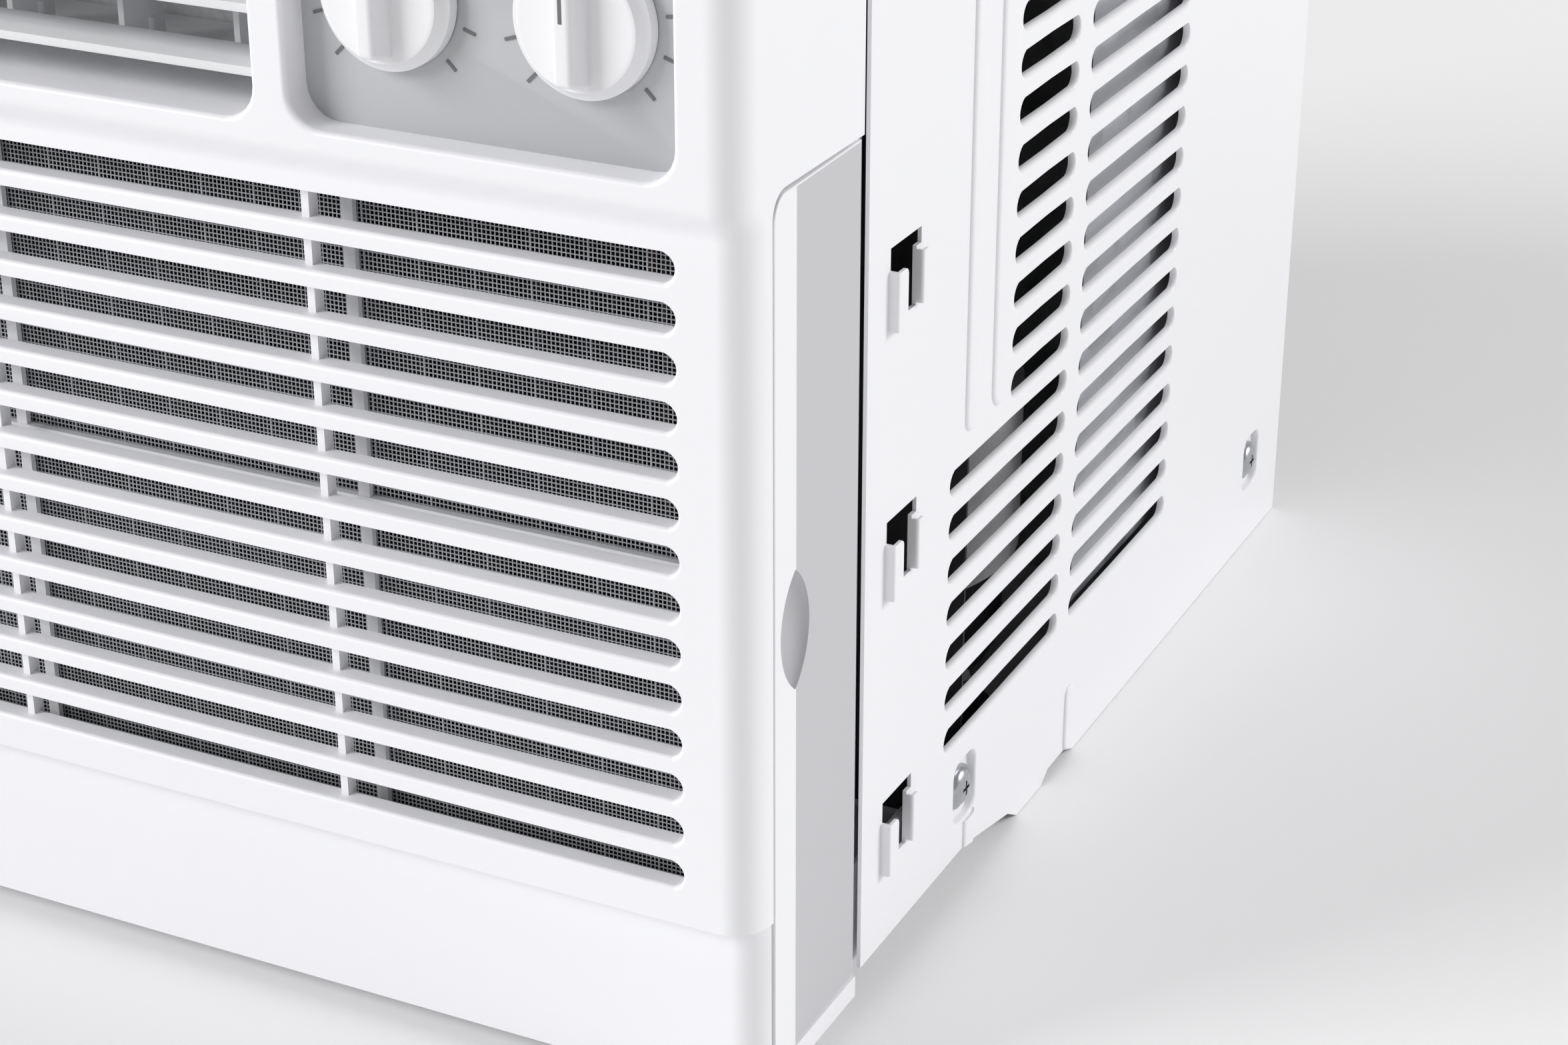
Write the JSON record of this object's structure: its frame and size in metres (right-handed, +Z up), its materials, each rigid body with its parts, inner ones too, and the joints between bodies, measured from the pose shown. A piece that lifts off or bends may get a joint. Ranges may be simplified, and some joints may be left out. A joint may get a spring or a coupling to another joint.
{
  "type": "window air conditioner",
  "caption": "Compact window air conditioner: plastic louvred front with side filter, steel cabinet with side louvres and curtain hooks, and its refrigeration set inside.",
  "frame": {"origin": "middle of the bottom face of the whole unit", "axes": "+X to the right of the front as it is faced, +Y from the front to the rear, +Z up"},
  "size_m": [0.4092, 0.4, 0.305],
  "materials": {
    "panel_plastic": "satin moulded white plastic",
    "filter_plastic": "satin moulded white plastic",
    "filter_mesh": "dark woven polymer mesh",
    "control_grey": "satin light grey plastic",
    "knob_plastic": "satin moulded plastic",
    "switch_body": "moulded switch housing",
    "vane_plastic": "satin moulded plastic",
    "cabinet_paint": "white baked enamel on pressed steel",
    "pan_steel": "galvanised steel with grey paint",
    "galvanised": "spangled zinc",
    "zinc_fastener": "bright zinc plate",
    "duct_foam": "moulded white foam",
    "fan_plastic": "dark moulded plastic",
    "shaft_steel": "ground steel",
    "motor_steel": "pressed steel shell",
    "fin_aluminium": "thin bare aluminium fins",
    "copper": "drawn copper tube",
    "compressor_paint": "black enamel",
    "felt": "grey sound felt",
    "rubber": "black rubber",
    "guard_paint": "white baked enamel",
    "lead_sleeve": "black sleeve round the leads"
  },
  "bodies": {
    "chassis": {"front_panel": "panel_plastic", "front_surround": "panel_plastic", "intake_grille": "panel_plastic", "control_plate": "control_grey", "rotary_switch": "switch_body", "thermostat": "galvanised", "sensing_bulb": "copper", "control_box": "galvanised", "outlet_frame": "vane_plastic", "cabinet": "cabinet_paint", "base_pan": "pan_steel", "cabinet_screws": "zinc_fastener", "bulkhead": "galvanised", "air_duct": "duct_foam", "outlet_duct": "duct_foam", "blower_inlet_plate": "duct_foam", "fan_motor": "motor_steel", "motor_bracket": "galvanised", "fan_shroud": "galvanised", "condenser_fins": "fin_aluminium", "condenser_tubes": "copper", "evaporator_fins": "fin_aluminium", "evaporator_tubes": "copper", "drip_tray": "duct_foam", "compressor": "compressor_paint", "compressor_jacket": "felt", "compressor_grommets": "rubber", "compressor_bolts": "zinc_fastener", "compressor_nuts": "zinc_fastener", "terminal_cover": "compressor_paint", "accumulator": "compressor_paint", "suction_pipes": "copper", "discharge_pipe": "copper", "capillary_tube": "copper", "capacitor": "motor_steel", "capacitor_strap": "galvanised", "motor_leads": "lead_sleeve", "cord_grommet": "rubber", "rear_guard": "guard_paint"},
    "filter": {"filter_frame": "filter_plastic", "filter_mesh": "filter_mesh"},
    "mode_knob": {"mode_knob": "knob_plastic"},
    "temperature_knob": {"temperature_knob": "knob_plastic"},
    "vane_link": {"vane_link": "vane_plastic"},
    "deflector_link": {"deflector_link": "vane_plastic"},
    "fan_rotor": {"blower_wheel": "fan_plastic", "motor_shaft": "shaft_steel", "condenser_fan": "fan_plastic"},
    "vane_1": {"outlet_vane_1": "vane_plastic"},
    "vane_2": {"outlet_vane_2": "vane_plastic"},
    "vane_3": {"outlet_vane_3": "vane_plastic"},
    "vane_4": {"outlet_vane_4": "vane_plastic"},
    "deflector_1": {"deflector_1": "vane_plastic"},
    "deflector_2": {"deflector_2": "vane_plastic"},
    "deflector_3": {"deflector_3": "vane_plastic"},
    "deflector_4": {"deflector_4": "vane_plastic"},
    "deflector_5": {"deflector_5": "vane_plastic"},
    "deflector_6": {"deflector_6": "vane_plastic"},
    "deflector_7": {"deflector_7": "vane_plastic"},
    "deflector_8": {"deflector_8": "vane_plastic"}
  },
  "joints": [
    {"name": "filter_slide", "type": "slide", "parent": "chassis", "child": "filter", "axis": [1, 0, 0], "range_m": [0, 0.36]},
    {"name": "mode_knob_turn", "type": "hinge", "parent": "chassis", "child": "mode_knob", "pos_m": [0.118, -0.19, 0.26], "axis": [0, 1, 0], "range_deg": [0, 225]},
    {"name": "temperature_knob_turn", "type": "hinge", "parent": "chassis", "child": "temperature_knob", "pos_m": [0.165, -0.19, 0.26], "axis": [0, 1, 0], "range_deg": [-135, 135]},
    {"name": "vane_1_tilt", "type": "hinge", "parent": "chassis", "child": "vane_1", "pos_m": [-0.05, -0.183, 0.239], "axis": [1, 0, 0], "range_deg": [-28, 28]},
    {"name": "vane_2_tilt", "type": "hinge", "parent": "chassis", "child": "vane_2", "pos_m": [-0.05, -0.183, 0.253], "axis": [1, 0, 0], "range_deg": [-28, 28]},
    {"name": "vane_3_tilt", "type": "hinge", "parent": "chassis", "child": "vane_3", "pos_m": [-0.05, -0.183, 0.267], "axis": [1, 0, 0], "range_deg": [-28, 28]},
    {"name": "vane_4_tilt", "type": "hinge", "parent": "chassis", "child": "vane_4", "pos_m": [-0.05, -0.183, 0.281], "axis": [1, 0, 0], "range_deg": [-28, 28]},
    {"name": "vane_link_shift", "type": "slide", "parent": "chassis", "child": "vane_link", "axis": [0, 0, 1], "range_m": [-0.005, 0.005]},
    {"name": "deflector_1_swing", "type": "hinge", "parent": "chassis", "child": "deflector_1", "pos_m": [-0.163, -0.155, 0.26], "axis": [0, 0, 1], "range_deg": [-28, 28]},
    {"name": "deflector_2_swing", "type": "hinge", "parent": "chassis", "child": "deflector_2", "pos_m": [-0.131, -0.155, 0.26], "axis": [0, 0, 1], "range_deg": [-28, 28]},
    {"name": "deflector_3_swing", "type": "hinge", "parent": "chassis", "child": "deflector_3", "pos_m": [-0.099, -0.155, 0.26], "axis": [0, 0, 1], "range_deg": [-28, 28]},
    {"name": "deflector_4_swing", "type": "hinge", "parent": "chassis", "child": "deflector_4", "pos_m": [-0.067, -0.155, 0.26], "axis": [0, 0, 1], "range_deg": [-28, 28]},
    {"name": "deflector_5_swing", "type": "hinge", "parent": "chassis", "child": "deflector_5", "pos_m": [-0.035, -0.155, 0.26], "axis": [0, 0, 1], "range_deg": [-28, 28]},
    {"name": "deflector_6_swing", "type": "hinge", "parent": "chassis", "child": "deflector_6", "pos_m": [-0.003, -0.155, 0.26], "axis": [0, 0, 1], "range_deg": [-28, 28]},
    {"name": "deflector_7_swing", "type": "hinge", "parent": "chassis", "child": "deflector_7", "pos_m": [0.029, -0.155, 0.26], "axis": [0, 0, 1], "range_deg": [-28, 28]},
    {"name": "deflector_8_swing", "type": "hinge", "parent": "chassis", "child": "deflector_8", "pos_m": [0.061, -0.155, 0.26], "axis": [0, 0, 1], "range_deg": [-28, 28]},
    {"name": "deflector_link_shift", "type": "slide", "parent": "chassis", "child": "deflector_link", "axis": [1, 0, 0], "range_m": [-0.007, 0.007]},
    {"name": "fan_spin", "type": "hinge", "parent": "chassis", "child": "fan_rotor", "pos_m": [-0.04, 0, 0.14], "axis": [0, 1, 0], "continuous": true}
  ],
  "couplings": [
    {"joint": "vane_2_tilt", "follows": "vane_1_tilt", "ratio": 1},
    {"joint": "vane_3_tilt", "follows": "vane_1_tilt", "ratio": 1},
    {"joint": "vane_4_tilt", "follows": "vane_1_tilt", "ratio": 1},
    {"joint": "vane_link_shift", "follows": "vane_1_tilt", "m_per_rad": 0.01},
    {"joint": "deflector_2_swing", "follows": "deflector_1_swing", "ratio": 1},
    {"joint": "deflector_3_swing", "follows": "deflector_1_swing", "ratio": 1},
    {"joint": "deflector_4_swing", "follows": "deflector_1_swing", "ratio": 1},
    {"joint": "deflector_5_swing", "follows": "deflector_1_swing", "ratio": 1},
    {"joint": "deflector_6_swing", "follows": "deflector_1_swing", "ratio": 1},
    {"joint": "deflector_7_swing", "follows": "deflector_1_swing", "ratio": 1},
    {"joint": "deflector_8_swing", "follows": "deflector_1_swing", "ratio": 1},
    {"joint": "deflector_link_shift", "follows": "deflector_1_swing", "m_per_rad": -0.014}
  ]
}
